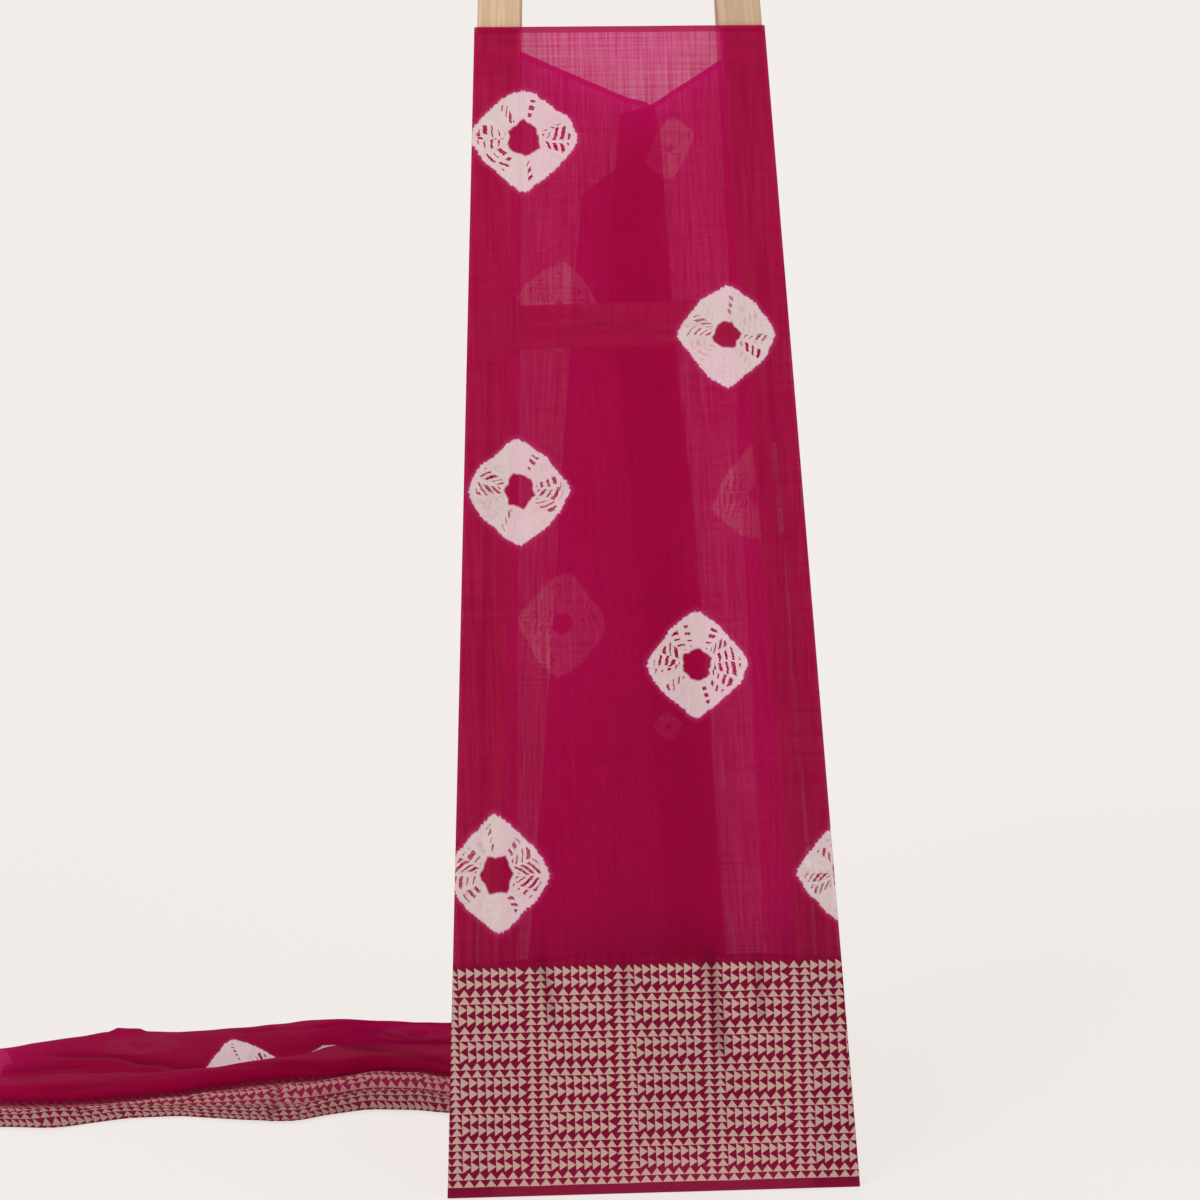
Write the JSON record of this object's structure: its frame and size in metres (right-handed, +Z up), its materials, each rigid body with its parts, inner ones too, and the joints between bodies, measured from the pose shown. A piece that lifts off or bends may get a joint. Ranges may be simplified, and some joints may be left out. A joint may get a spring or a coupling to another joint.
{
  "type": "brocade cloth on a wooden stand",
  "caption": "Long sheer magenta cloth with tie-dyed diamonds and a woven triangle border, wrapped round a leaning wooden display stand, its end trailing on the floor.",
  "frame": {"origin": "on the floor, below the middle of the whole object's box", "axes": "+Z up, -Y towards the viewer of the cloth's front, +X to the viewer's right"},
  "size_m": [0.8925, 0.6341, 1.2287],
  "materials": {
    "cloth": "matt, sheer",
    "wood": "planed and unvarnished"
  },
  "bodies": {
    "root": {"brocade_cloth": "cloth", "left_upright": "wood", "right_upright": "wood", "front_rail": "wood", "top_rail": "wood", "left_rear_leg": "wood", "right_rear_leg": "wood", "rear_rail": "wood"}
  },
  "joints": []
}
